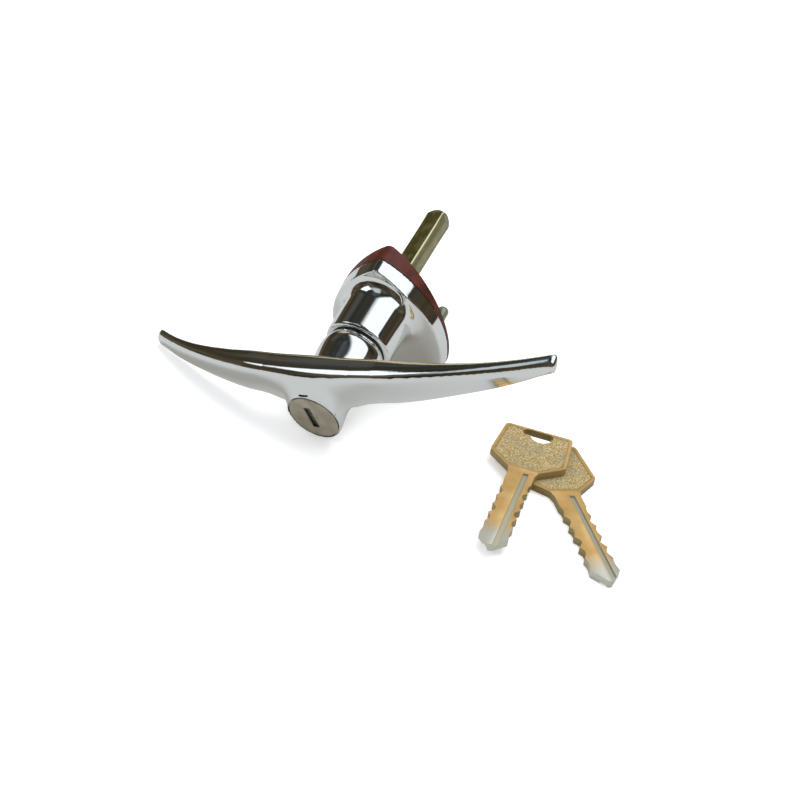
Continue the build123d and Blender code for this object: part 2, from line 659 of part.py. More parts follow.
def make_key(plane, name):
    with BuildPart() as key:
        with BuildSketch(plane) as bow:
            with BuildLine():
                Polyline((-key_top_half, key_bow_top), (key_top_half, key_bow_top),
                         (key_wide_half, key_bow_wide_up), (key_shoulder_half, 0),
                         (-key_shoulder_half, 0), (-key_wide_half, key_bow_wide_up), close=True)
            make_face()
            fillet(bow.vertices().sort_by(Axis.Y)[2:], radius=key_bow_round)
        with BuildSketch(plane):
            with BuildLine():
                Polyline(*key_cut_edge(1), (key_tip_half, -key_length),
                         (-key_tip_half, -key_length), *reversed(key_cut_edge(-1)), close=True)
            make_face()
        extrude(amount=key_thick)
        with BuildSketch(plane):
            with Locations((0, key_slot_up)):
                SlotOverall(key_slot_length, key_slot_height)
            with Locations((key_bite_side, key_slot_up - key_slot_height / 2 + 0.4)):
                Circle(key_bite_radius)
                Rectangle(3 * key_bite_radius, 3 * key_bite_radius, align=(Align.CENTER, Align.MIN),
                          mode=Mode.SUBTRACT)
            with Locations((0, key_slot_up)):
                SlotOverall(key_slot_length, key_slot_height)
        extrude(amount=key_thick, mode=Mode.SUBTRACT)
        with BuildSketch(plane.offset(key_thick - key_groove_depth)):
            with Locations((key_groove_side, -key_length / 2 - 2)):
                Rectangle(key_groove_width, key_length)
        extrude(amount=key_groove_depth, mode=Mode.SUBTRACT)
        with BuildSketch(plane.offset(-0.1)):
            with Locations((-key_groove_side, -key_length / 2 - 2)):
                Rectangle(key_groove_width, key_length)
        extrude(amount=key_groove_depth + 0.1, mode=Mode.SUBTRACT)
    save(key, name)
    return key


handle_pieces = (handle, escutcheon, mounting_pad, fixing_studs)
table = min(piece.part.bounding_box().min.Z for piece in handle_pieces)


def key_plane(x, y, way, height):
    """Plane of a key that lies flat, with the blade pointing this way round from +X."""
    return Plane(origin=(x, y, table + height), z_dir=(0, 0, 1),
                 x_dir=(-sin(radians(way)), cos(radians(way)), 0))


lower_key = make_key(key_plane(lower_key_x, lower_key_y, lower_key_way, 0), "lower_key")
upper_key = make_key(key_plane(upper_key_x, upper_key_y, upper_key_way, key_thick + key_gap),
                     "upper_key")
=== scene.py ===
# %% [markdown]
# # A chromed boot handle with its lock and two keys
# This lesson dresses a measured model of a car's boot handle so that it looks like the real one:
# a T handle in polished chrome, a chromed base on a red-brown rubber pad, a square spindle in
# dulled yellow zinc, and two brass keys. The measured solids come in first and never move. They
# set every size. Each one gets a finish, and the five that show most are replaced by finished
# copies of themselves.

from math import cos, radians, sin

import bpy
from mathutils import Matrix, Vector


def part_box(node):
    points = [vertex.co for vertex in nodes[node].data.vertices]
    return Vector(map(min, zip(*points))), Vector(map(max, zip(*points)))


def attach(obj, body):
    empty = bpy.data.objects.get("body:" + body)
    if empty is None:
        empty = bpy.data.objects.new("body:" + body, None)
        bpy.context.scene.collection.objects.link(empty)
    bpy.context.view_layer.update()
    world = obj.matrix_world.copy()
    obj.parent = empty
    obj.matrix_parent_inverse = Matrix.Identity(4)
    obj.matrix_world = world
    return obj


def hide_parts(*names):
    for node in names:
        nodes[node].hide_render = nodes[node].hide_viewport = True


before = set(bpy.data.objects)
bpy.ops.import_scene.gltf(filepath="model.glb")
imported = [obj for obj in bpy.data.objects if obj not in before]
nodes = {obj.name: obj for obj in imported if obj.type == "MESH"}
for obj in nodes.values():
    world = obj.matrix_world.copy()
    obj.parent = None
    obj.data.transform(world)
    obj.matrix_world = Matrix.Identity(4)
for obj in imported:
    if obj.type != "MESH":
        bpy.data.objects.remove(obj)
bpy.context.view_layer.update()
MM = 0.001
print("frame loaded,", len(nodes), "solids")

# %% [markdown]
# The handle lies on the table on its left tip, its lock and the foot of its base, so nothing on
# it is square to the world. Three directions are worked out once from the angles at which it
# lies: along the bar, inward along the spindle, and up over the bar. A place on the handle is
# then given as on a drawing: across, depth behind the lock's face, and up.

# %% Directions of the handle
rise, roll = radians(22.4), radians(18.5)
inward = Vector((0, cos(rise), sin(rise)))
along_bar = Vector((cos(roll), -sin(roll) * sin(rise), sin(roll) * cos(rise)))
over_bar = along_bar.cross(inward)
seat_depth = 53.0  # the world's origin lies on the spindle's axis, this far behind the lock's face


def spot(across, depth, up):
    """A place on the handle, in metres, from millimetres on its own drawing."""
    return (along_bar * across + inward * (depth - seat_depth) + over_bar * up) * MM


def facing(z_way, x_way):
    """The turn that points a thing's Z along z_way and its X along x_way."""
    return Matrix((x_way, z_way.cross(x_way), z_way)).transposed().to_euler()


lined_up = facing(over_bar, along_bar)
print("lock face at", [round(v, 4) for v in spot(0, 0, 0)])

# %% [markdown]
# The photograph was taken from the right and above, about 31 cm away. The camera's place and
# turn were worked out from the bar's edges, the lock's ellipse and the keys, so the render can
# be laid over the photograph.

# %% Camera
bpy.ops.object.camera_add(location=(0.10481, -0.27111, 0.13360))
camera = bpy.context.object
to_right = Vector((0.9101, 0.3971, 0.1184)).normalized()
to_viewer = Vector((0.2885, -0.8123, 0.5069)).normalized()
camera.rotation_euler = facing(to_viewer, to_right)
camera.data.sensor_width = 36
camera.data.lens = 44.37
camera.data.clip_start = 0.01
bpy.context.scene.camera = camera
bpy.context.scene.view_settings.view_transform = "Standard"
print("camera lens", round(camera.data.lens, 2), "mm")

# %% [markdown]
# A few helpers serve every material. One turns a colour as a painter's hex value into the linear
# numbers that the shader wants. Another adds a node, sets its properties and fills or links its
# inputs in one line, which keeps each finish readable as a recipe. A pattern's scale is written
# as so many grains per millimetre of the real surface.

# %% Colour and node helpers
PER_MM = 1000.0


def colour(code):
    """A hex colour as the eye sees it, turned into the linear values that light adds up in."""
    parts = [int(code[i:i + 2], 16) / 255 for i in (1, 3, 5)]
    return (*(p / 12.92 if p <= 0.04045 else ((p + 0.055) / 1.055) ** 2.4 for p in parts), 1.0)


def set_inputs(node, inputs):
    """Gives each named input of a node its value, or links it to the output that feeds it."""
    for name, value in inputs.items():
        if isinstance(value, bpy.types.NodeSocket):
            node.id_data.links.new(value, node.inputs[name])
        else:
            node.inputs[name].default_value = value


def add_node(tree, kind, inputs, stops=(), **settings):
    """Adds a node with its inputs, its settings and, on a colour ramp, its (place, hex) stops."""
    node = tree.nodes.new("ShaderNode" + kind)
    for name, value in settings.items():
        setattr(node, name, value)
    set_inputs(node, inputs)
    for _ in stops[2:]:
        node.color_ramp.elements.new(0.5)
    for number, (position, code) in enumerate(stops):
        node.color_ramp.elements[number].position = position
        node.color_ramp.elements[number].color = colour(code)
    return node


def new_material(name):
    """A new material, its nodes, its shader, and the object's own coordinates in metres."""
    material = bpy.data.materials.new(name)
    material.use_nodes = True
    tree = material.node_tree
    shader = next(node for node in tree.nodes if node.type == "BSDF_PRINCIPLED")
    return material, tree, shader, add_node(tree, "TexCoord", {}).outputs["Object"]


print("helpers ready")

# %% [markdown]
# Chrome has no colour of its own: it is a picture of the room. A photographed room could stand
# round the handle, but one painted by direction needs no picture, and each light in it can be
# moved until its reflection sits where the photograph has it. An azimuth of 0 is the room's back,
# 90 its right, and minus 90 its left. The ceiling is flat, so a place on it is the direction
# divided by its height.

# %% World: directions in the room
world = bpy.data.worlds.new("studio")
bpy.context.scene.world = world
world.use_nodes = True
sky = world.node_tree
sky.nodes.clear()
way = add_node(sky, "TexCoord", {}).outputs["Generated"]
way_x, way_y, way_z = add_node(sky, "SeparateXYZ", {0: way}).outputs
height = add_node(sky, "Math", {0: way_z, 1: 0.02}, operation="MAXIMUM").outputs[0]
ceiling_x = add_node(sky, "Math", {0: way_x, 1: height}, operation="DIVIDE").outputs[0]
ceiling_y = add_node(sky, "Math", {0: way_y, 1: height}, operation="DIVIDE").outputs[0]
azimuth = add_node(sky, "Math", {0: way_x, 1: way_y}, operation="ARCTAN2").outputs[0]
elevation = add_node(sky, "Math", {0: way_z}, operation="ARCSINE").outputs[0]
print("directions take", len(sky.nodes), "nodes")

# %% [markdown]
# The photograph's chrome shows a wide white light overhead and to the right, its edges askew to
# the bar, a smaller bright window at the front left, a fainter one high above the front, and a
# warm patch on the back wall, left of the middle. Each is a soft-edged patch: 1 inside, 0 outside.

# %% World: lights
def between(value, low, high, soft):
    """1 where a value lies between two limits, falling softly to 0 outside them."""
    rising = add_node(sky, "MapRange",
                      {"Value": value, "From Min": low - soft, "From Max": low + soft},
                      interpolation_type="SMOOTHSTEP").outputs[0]
    falling = add_node(sky, "MapRange",
                       {"Value": value, "From Min": high - soft, "From Max": high + soft,
                        "To Min": 1.0, "To Max": 0.0},
                       interpolation_type="SMOOTHSTEP").outputs[0]
    return add_node(sky, "Math", {0: rising, 1: falling}, operation="MULTIPLY").outputs[0]


def wall_patch(azimuths, elevations, softness):
    """A patch between two azimuths and two elevations, in degrees, with soft edges."""
    sideways = between(azimuth, *(radians(a) for a in azimuths), softness[0])
    upward = between(elevation, *(radians(e) for e in elevations), softness[1])
    return add_node(sky, "Math", {0: sideways, 1: upward}, operation="MULTIPLY").outputs[0]


askew_x, askew_y = 0.817, 0.577  # the overhead light's long edges lie 35 degrees askew
part_askew = add_node(sky, "Math", {0: ceiling_x, 1: askew_x}, operation="MULTIPLY").outputs[0]
askew = add_node(sky, "Math", {0: ceiling_y, 1: askew_y, 2: part_askew},
                 operation="MULTIPLY_ADD").outputs[0]
strip, span = between(askew, 0.06, 1.3, 0.1), between(ceiling_y, -0.9, 0.75, 0.08)
ceiling_light = add_node(sky, "Math", {0: strip, 1: span}, operation="MULTIPLY").outputs[0]
not_low = add_node(sky, "Math", {0: way_z, 1: 0.1}, operation="GREATER_THAN").outputs[0]
overhead = add_node(sky, "Math", {0: ceiling_light, 1: not_low}, operation="MULTIPLY").outputs[0]
window = wall_patch((-134, -95), (27, 48), (0.03, 0.03))
warm_wall = wall_patch((-44, -24), (15, 36), (0.06, 0.05))
front_light = wall_patch((-172, -136), (38, 66), (0.1, 0.1))
faint_light = add_node(sky, "Math", {0: front_light, 1: 0.45}, operation="MULTIPLY").outputs[0]
windows = add_node(sky, "Math", {0: window, 1: faint_light}, operation="MAXIMUM").outputs[0]
bright = add_node(sky, "Math", {0: overhead, 1: windows}, operation="MAXIMUM").outputs[0]
print("lights take it to", len(sky.nodes), "nodes")

# %% [markdown]
# The walls are dark, brown below and grey above, with slow patches. All this is only for
# reflections. The camera sees plain white behind everything, and matt things are lit by an even
# pale sky, so that a colour renders about as it is written.

# %% World: walls, and what each kind of ray sees
room_white, matt_sky, pure_white = (1.2, 1.25, 1.27, 1), (0.62, 0.63, 0.65, 1), (1, 1, 1, 1)
mottle = add_node(sky, "TexNoise", {"Vector": way, "Scale": 2.2, "Detail": 2.0}).outputs["Fac"]
low_wall = add_node(sky, "ValToRGB", {"Fac": mottle},
                    [(0.35, "#2E281E"), (0.5, "#463D2E"), (0.66, "#5F574A")]).outputs["Color"]
high_wall = add_node(sky, "ValToRGB", {"Fac": mottle},
                     [(0.35, "#262724"), (0.5, "#363630"), (0.66, "#4C545A")]).outputs["Color"]
climb = add_node(sky, "MapRange", {"Value": way_z, "From Min": 0.35, "From Max": 0.75}).outputs[0]
walls = add_node(sky, "MixRGB", {"Fac": climb, "Color1": low_wall, "Color2": high_wall}).outputs[0]
warmed = add_node(sky, "MixRGB",
                  {"Fac": warm_wall, "Color1": walls, "Color2": colour("#D6C29C")}).outputs[0]
room = add_node(sky, "MixRGB", {"Fac": bright, "Color1": warmed, "Color2": room_white}).outputs[0]
ray = add_node(sky, "LightPath", {}).outputs
seen = add_node(sky, "Math", {0: ray["Is Camera Ray"], 1: ray["Is Transmission Ray"]},
                operation="MAXIMUM").outputs[0]
reflected = add_node(sky, "MixRGB", {"Fac": ray["Is Glossy Ray"], "Color1": matt_sky,
                                     "Color2": room}).outputs[0]
shown = add_node(sky, "MixRGB",
                 {"Fac": seen, "Color1": reflected, "Color2": pure_white}).outputs[0]
backdrop = add_node(sky, "Background", {"Color": shown, "Strength": 1.0})
add_node(sky, "OutputWorld", {"Surface": backdrop.outputs[0]})
print("room painted with", len(sky.nodes), "nodes")

# %% [markdown]
# The lamps stand where the reflections say that they are: a wide soft one overhead and to the
# right, and a weaker one at the front left. They are hidden from reflections, because the world
# already paints them there.

# %% Lamps
def soft_lamp(name, azimuth_deg, elevation_deg, distance, size, watts):
    """A square soft light, aimed at the handle."""
    turn, climb_angle = radians(azimuth_deg), radians(elevation_deg)
    away = Vector((sin(turn) * cos(climb_angle), cos(turn) * cos(climb_angle), sin(climb_angle)))
    bpy.ops.object.light_add(type="AREA", location=away * distance)
    lamp = bpy.context.object
    lamp.name = name
    lamp.rotation_euler = away.to_track_quat("Z", "Y").to_euler()
    lamp.data.size = size
    lamp.data.energy = watts
    lamp.visible_glossy = False
    print(name, watts, "W")


soft_lamp("overhead_lamp", 35, 66, distance=1.2, size=0.9, watts=10)
soft_lamp("window_lamp", -112, 40, distance=1.3, size=0.7, watts=5)

# %% [markdown]
# The table is white. A weak glow of its own lifts it to almost pure white for the camera, so only
# the soft shadow close to the handle and the keys shows. The chrome sees it as pale grey, with a
# weaker, brown glow that stands for light thrown back by the dark room.

# %% Table
table_height = min(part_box("lower_key")[0][2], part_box("handle")[0][2])
bpy.ops.object.select_all(action="DESELECT")
bpy.ops.mesh.primitive_plane_add(size=8, location=(0, 0, table_height))
table = bpy.context.object
table.name = "table"
table_white, tree, shader, _ = new_material("white_table")
ray = add_node(tree, "LightPath", {}).outputs
paint = add_node(tree, "MixRGB", {"Fac": ray["Is Glossy Ray"], "Color1": colour("#EDEDED"),
                                  "Color2": colour("#ABAFB2")})
glow = add_node(tree, "MixRGB", {"Fac": ray["Is Glossy Ray"], "Color1": (0.32, 0.32, 0.32, 1),
                                 "Color2": (0.15, 0.12, 0.08, 1)})
glows = add_node(tree, "Math", {0: ray["Is Camera Ray"], 1: ray["Is Glossy Ray"]},
                 operation="MAXIMUM")
set_inputs(shader, {"Base Color": paint.outputs[0], "Roughness": 0.9, "Specular IOR Level": 0.1,
                    "Emission Color": glow.outputs[0], "Emission Strength": glows.outputs[0]})
table.data.materials.append(table_white)
print("table at", round(table_height, 5))

# %% [markdown]
# ## The finishes
# Polished chrome plate on a zinc casting: bluish white, almost a mirror, with the faint haze
# that years of wiping leave. A perfect mirror would be simpler, but it looks drawn. The haze is
# a slow change of roughness, and the orange-peel of the casting under the plate is a very shallow
# bump about 4 mm wide.

# %% Chrome
chrome, tree, shader, place = new_material("polished_chrome_plate")
haze = add_node(tree, "TexNoise", {"Vector": place, "Scale": 0.12 * PER_MM, "Detail": 3.0})
wiped = add_node(tree, "MapRange", {"Value": haze.outputs["Fac"], "From Min": 0.35,
                                    "From Max": 0.7, "To Min": 0.035, "To Max": 0.075})
peel = add_node(tree, "TexNoise", {"Vector": place, "Scale": 0.26 * PER_MM, "Detail": 1.0})
dimples = add_node(tree, "Bump", {"Height": peel.outputs["Fac"], "Strength": 0.05,
                                  "Distance": 0.1 * MM})
set_inputs(shader, {"Base Color": colour("#E9EDEE"), "Metallic": 1.0,
                    "Roughness": wiped.outputs[0], "Normal": dimples.outputs[0]})
print("chrome ready")

# %% [markdown]
# The lock's face is a pressed cap of stainless steel with a satin face. Its colour in the
# photograph is a warm grey, because it faces the table and the brown room. Fine parallel brush
# marks run across it. An anisotropic gloss could suggest them, but the cap is seen so close that
# they are drawn, as a stretched noise. Real ones are about 0.05 mm apart, which is too fine to
# show, so they are about three times as coarse, and twenty times as long as they are wide.

# %% Satin steel cap
satin, tree, shader, place = new_material("satin_pressed_steel")
brush_scale = (0.3 * PER_MM, 0.3 * PER_MM, 6.0 * PER_MM)
brushed = add_node(tree, "Mapping", {"Vector": place, "Rotation": lined_up, "Scale": brush_scale})
lines = add_node(tree, "TexNoise", {"Vector": brushed.outputs[0], "Scale": 1.0,
                                    "Detail": 2.0}).outputs["Fac"]
stain = add_node(tree, "TexNoise", {"Vector": place, "Scale": 0.26 * PER_MM, "Detail": 4.0})
greys = add_node(tree, "ValToRGB", {"Fac": stain.outputs["Fac"]},
                 [(0.3, "#ABA493"), (0.55, "#BFB9A8"), (0.75, "#CCC8B9")])
satin_sheen = add_node(tree, "MapRange", {"Value": lines, "To Min": 0.3, "To Max": 0.48})
scratches = add_node(tree, "Bump", {"Height": lines, "Strength": 0.15, "Distance": 0.05 * MM})
set_inputs(shader, {"Base Color": greys.outputs[0], "Metallic": 0.85,
                    "Roughness": satin_sheen.outputs[0], "Normal": scratches.outputs[0]})
print("satin steel ready")

# %% [markdown]
# The pad is moulded rubber, dark red-brown and matt, with a faint bloom where it was handled.
# The seal ring is plain black rubber. Both scatter most light, so they keep the default IOR and
# get a fine moulded grain of about 0.3 mm.

# %% Rubbers
def rubber(name, dark, mid, light, rough):
    """Moulded rubber: three shades of bloom over a fine grain."""
    material, tree, shader, place = new_material(name)
    bloom = add_node(tree, "TexNoise", {"Vector": place, "Scale": 0.18 * PER_MM, "Detail": 4.0})
    shades = add_node(tree, "ValToRGB", {"Fac": bloom.outputs["Fac"]},
                      [(0.3, dark), (0.52, mid), (0.75, light)])
    grain = add_node(tree, "TexNoise", {"Vector": place, "Scale": 3.0 * PER_MM, "Detail": 2.0})
    bumps = add_node(tree, "Bump", {"Height": grain.outputs["Fac"], "Strength": 0.25,
                                    "Distance": 0.06 * MM})
    set_inputs(shader, {"Base Color": shades.outputs[0], "Roughness": rough,
                        "Normal": bumps.outputs[0]})
    return material


pad_rubber = rubber("red_brown_moulded_rubber", "#38130A", "#521F13", "#682D1D", 0.5)
seal_rubber = rubber("black_seal_rubber", "#0E0E0E", "#1A1A1A", "#2A2A29", 0.45)
print("rubbers ready")

# %% [markdown]
# The spindle and the studs are steel, zinc plated and dipped in a yellow chromate, which has
# dulled to olive with greenish and straw patches. The bar was drawn through a die, so streaks
# run along it: a noise stretched twenty times along the spindle gives them. Where an attribute of
# the mesh is set, a painted highlight makes the zinc pale and less metallic.

# %% Yellow passivated zinc
def passivated_zinc(name, stops, rough):
    """Dulled zinc in the shades of these ramp stops, streaked along the spindle."""
    material, tree, shader, place = new_material(name)
    drawn_scale = (0.9 * PER_MM, 0.045 * PER_MM, 0.9 * PER_MM)
    drawn = add_node(tree, "Mapping",
                     {"Vector": place, "Rotation": lined_up, "Scale": drawn_scale})
    streaks = add_node(tree, "TexNoise", {"Vector": drawn.outputs[0], "Scale": 1.0,
                                          "Detail": 3.0}).outputs["Fac"]
    patches = add_node(tree, "TexNoise", {"Vector": place, "Scale": 0.22 * PER_MM,
                                          "Detail": 4.0}).outputs["Fac"]
    total = add_node(tree, "Math", {0: streaks, 1: patches}, operation="ADD").outputs[0]
    half = add_node(tree, "Math", {0: total, 1: 0.5}, operation="MULTIPLY").outputs[0]
    shades = add_node(tree, "ValToRGB", {"Fac": half}, stops).outputs["Color"]
    # Painted highlight: where this attribute is set, the zinc is painted pale (#D8D5AC) and made
    # less metallic.
    painted_light_amount = add_node(tree, "Attribute", {}, attribute_name="painted_light").outputs["Fac"]
    colours = add_node(tree, "MixRGB", {"Fac": painted_light_amount, "Color1": shades,
                                        "Color2": colour("#D8D5AC")})
    sheen = add_node(tree, "MapRange", {"Value": streaks, "To Min": rough - 0.08,
                                        "To Max": rough + 0.1})
    die_lines = add_node(tree, "Bump", {"Height": streaks, "Strength": 0.2,
                                        "Distance": 0.05 * MM})
    metal = add_node(tree, "MapRange", {"Value": painted_light_amount, "To Min": 0.7, "To Max": 0.2})
    set_inputs(shader, {"Base Color": colours.outputs[0], "Roughness": sheen.outputs[0],
                        "Normal": die_lines.outputs[0], "Metallic": metal.outputs[0]})
    return material


olive_shades = [(0.4, "#565127"), (0.5, "#686236"), (0.6, "#7C764A")]
green_shades = [(0.36, "#4E5848"), (0.5, "#7C8672"), (0.64, "#A9B09E")]
spindle_zinc = passivated_zinc("olive_passivated_zinc", olive_shades, 0.36)
stud_zinc = passivated_zinc("greenish_zinc", green_shades, 0.3)
print("zinc ready")

# %% [markdown]
# The keys are brass blanks. The bow's field is shot-blasted and grainy, about 0.4 mm a grain,
# with grey tarnish in patches, and its rim is smooth. Each area could have a material of its own,
# but then they couldn't fade into each other. So there is one brass, and attributes on the mesh
# say which faces are which, so that each look stops exactly at its edge.

# %% Key brass: the grainy field
key_brass, tree, shader, place = new_material("worn_key_brass")
grainy, milled, side_shade, along = (add_node(tree, "Attribute", {}, attribute_name=mark).outputs["Fac"]
                               for mark in ("grain", "milled", "side_shade", "along"))
grain = add_node(tree, "TexNoise", {"Vector": place, "Scale": 2.6 * PER_MM,
                                    "Detail": 3.0}).outputs["Fac"]
tarnish = add_node(tree, "TexNoise", {"Vector": place, "Scale": 0.15 * PER_MM,
                                      "Detail": 4.0}).outputs["Fac"]
sand = add_node(tree, "ValToRGB", {"Fac": grain},
                [(0.36, "#9C8752"), (0.5, "#CDB47C"), (0.62, "#EFDDAE")]).outputs["Color"]
greyed = add_node(tree, "ValToRGB", {"Fac": tarnish},
                  [(0.5, "#000000"), (0.62, "#8C8C8C")]).outputs["Color"]
field_gold = add_node(tree, "MixRGB", {"Fac": greyed, "Color1": sand,
                                       "Color2": colour("#A3A698")}).outputs[0]
pits = add_node(tree, "Math", {0: grain, 1: grainy}, operation="MULTIPLY").outputs[0]
blasted = add_node(tree, "Bump", {"Height": pits, "Strength": 0.6, "Distance": 0.1 * MM})
print("grain and tarnish ready")

# %% [markdown]
# The smooth brass is gold, and three marks change it in turn: the cut sides get a painted
# shade, the blade's tip is worn pale, and the milled groove is pale too. A mark is an amount
# from 0 to 1, so each is one mix of two colours.

# %% Key brass: the smooth rim and the blade
wear_starts, wear_ends = 27.0, 34.0  # mm along the blade, from the end of the bow
smooth_gold = add_node(tree, "ValToRGB", {"Fac": tarnish},
                       [(0.3, "#D0A766"), (0.5, "#DBB473"), (0.7, "#E6C384")]).outputs["Color"]
worn_tip = add_node(tree, "MapRange", {"Value": along, "From Min": wear_starts,
                                       "From Max": wear_ends}).outputs[0]
blade = smooth_gold
# The first mix is a painted shade that darkens the key's cut sides (#857A52).
for amount, shade in ((side_shade, "#857A52"), (worn_tip, "#C4C4B8"), (milled, "#B3AE98")):
    blade = add_node(tree, "MixRGB", {"Fac": amount, "Color1": blade,
                                      "Color2": colour(shade)}).outputs[0]
golds = add_node(tree, "MixRGB", {"Fac": grainy, "Color1": blade, "Color2": field_gold})
key_sheen = add_node(tree, "MapRange", {"Value": grainy, "To Min": 0.36, "To Max": 0.5})
set_inputs(shader, {"Base Color": golds.outputs[0], "Metallic": 0.45,
                    "Roughness": key_sheen.outputs[0], "Normal": blasted.outputs[0]})
print("key brass ready")

# %% [markdown]
# Inside the lock everything is turned brass or bare spring steel. These pieces show only when
# the handle is taken apart, but each still gets its metal's colour and its lathe marks.

# %% Lock metals
def turned_metal(name, dark, light, rough):
    """Bare metal with lathe marks, in two shades."""
    material, tree, shader, place = new_material(name)
    marks = add_node(tree, "TexNoise", {"Vector": place, "Scale": 1.5 * PER_MM,
                                        "Detail": 2.0}).outputs["Fac"]
    shades = add_node(tree, "ValToRGB", {"Fac": marks}, [(0.35, dark), (0.65, light)])
    sheen = add_node(tree, "MapRange", {"Value": marks, "To Min": rough, "To Max": rough + 0.15})
    set_inputs(shader, {"Base Color": shades.outputs[0], "Metallic": 0.95,
                        "Roughness": sheen.outputs[0]})
    return material


lock_brass = turned_metal("turned_lock_brass", "#9C7A3C", "#C9A765", 0.3)
spring_steel = turned_metal("bare_spring_steel", "#5E5D5A", "#8E8D89", 0.35)
print("lock metals ready")

# %% [markdown]
# Every measured solid now gets its finish, also those inside. The wafers and their springs are
# brass, and whatever the list doesn't name is spring steel.

# %% A finish for every solid
finishes = {"handle": chrome, "escutcheon": chrome, "plug_cap": satin, "mounting_pad": pad_rubber,
            "shank_seal": seal_rubber, "spindle": spindle_zinc, "fixing_studs": stud_zinc,
            "thrust_washer": spindle_zinc, "upper_key": key_brass, "lower_key": key_brass,
            "lock_sleeve": lock_brass, "lock_plug": lock_brass, "keyway_shutter": spring_steel}
for name, node in nodes.items():
    finish = finishes.get(name, lock_brass if name.startswith("wafer_") else spring_steel)
    node.data.materials.clear()
    node.data.materials.append(finish)
print(len(nodes), "solids have a finish")

# %% [markdown]
# ## The castings and the keys
# The pieces that follow are copies of measured solids, shaped with the same few steps: join the
# loose triangles into one skin, apply a modifier, cut something away, and give the result its
# finish. A helper for each keeps the pieces short.

# %% Copying, cutting and finishing helpers
def only(piece):
    """Selects one piece and nothing else."""
    bpy.ops.object.select_all(action="DESELECT")
    piece.select_set(True)
    bpy.context.view_layer.objects.active = piece


def merged_copy(node, name):
    """A free copy of a measured solid, with its loose triangles joined into one skin."""
    piece = nodes[node].copy()
    piece.data = nodes[node].data.copy()
    piece.name = piece.data.name = name
    piece.parent = None
    piece.matrix_world = Matrix.Identity(4)
    bpy.context.collection.objects.link(piece)
    only(piece)
    bpy.ops.object.mode_set(mode="EDIT")
    bpy.ops.mesh.select_all(action="SELECT")
    bpy.ops.mesh.remove_doubles(threshold=0.002 * MM)
    bpy.ops.mesh.normals_make_consistent(inside=False)
    bpy.ops.object.mode_set(mode="OBJECT")
    return piece


def apply_modifier(piece, kind, **settings):
    """Adds a modifier with its settings and applies it."""
    only(piece)
    modifier = piece.modifiers.new(kind.lower(), kind)
    for name, value in settings.items():
        setattr(modifier, name, value)
    bpy.ops.object.modifier_apply(modifier=modifier.name)


def cut_away(piece, cutter, solver="MANIFOLD"):
    """Takes the cutter out of the piece, then deletes the cutter."""
    apply_modifier(piece, "BOOLEAN", operation="DIFFERENCE", object=cutter, solver=solver)
    bpy.data.objects.remove(cutter)


def place_kept_in_mesh():
    """Moves the place, turn and scale of what is selected into its mesh."""
    bpy.ops.object.transform_apply(location=True, rotation=True, scale=True)


def give_finish(piece, finish, sharpest):
    """Shades a piece smooth over angles up to this many degrees, and gives it one finish."""
    only(piece)
    bpy.ops.object.shade_smooth_by_angle(angle=radians(sharpest))
    piece.data.materials.clear()
    piece.data.materials.append(finish)


print("copying helpers ready")

# %% [markdown]
# Cutters are round bars about the spindle's axis and square blocks in line with the handle. Both
# are placed by the drawing, in millimetres. Two more helpers read a place back from the mesh and
# fade an effect in between two limits.

# %% Cutters and zones
def turned_bar(name, radius, start, end):
    """A round bar about the spindle's axis, from one depth to another."""
    bpy.ops.object.select_all(action="DESELECT")
    bpy.ops.mesh.primitive_cylinder_add(vertices=96, radius=radius * MM, depth=(end - start) * MM,
                                        location=spot(0, (start + end) / 2, 0),
                                        rotation=facing(inward, along_bar))
    piece = bpy.context.object
    piece.name = piece.data.name = name
    place_kept_in_mesh()
    return piece


def cut_block(name, width, height, start, end, middle):
    """A square-cornered block from one depth to another, its middle this far across and up."""
    bpy.ops.object.select_all(action="DESELECT")
    bpy.ops.mesh.primitive_cube_add(size=1, rotation=lined_up,
                                    location=spot(middle[0], (start + end) / 2, middle[1]))
    piece = bpy.context.object
    piece.name = name
    piece.scale = (width * MM, (end - start) * MM, height * MM)
    place_kept_in_mesh()
    return piece


def drawing_place(point):
    """A point's depth, its distance from the axis, and its height and reach, in millimetres."""
    depth = point.dot(inward) / MM
    radius = (point / MM - inward * depth).length
    return depth + seat_depth, radius, point.dot(over_bar) / MM, abs(point.dot(along_bar)) / MM


def fade(value, start, end):
    """0 up to the start, 1 from the end, and an even climb in between."""
    return min(1.0, max(0.0, (value - start) / (end - start)))


print("cutters and zones ready")

# %% [markdown]
# The handle is one casting, so the hub, the bar and the neck flow into each other. In the
# measured solid they meet in creases, which a mirror finish would show. A bevel could round a
# crease, but not where three bent forms meet. So a voxel skin is drawn over a copy of the solid
# at 0.38 mm, about as fine as the picture, and its zones are marked: the blend round the hub, the
# free bar, and the back half of the bar near its tips. Before that the lock's bore is filled, so
# that smoothing doesn't round the lock's seat.

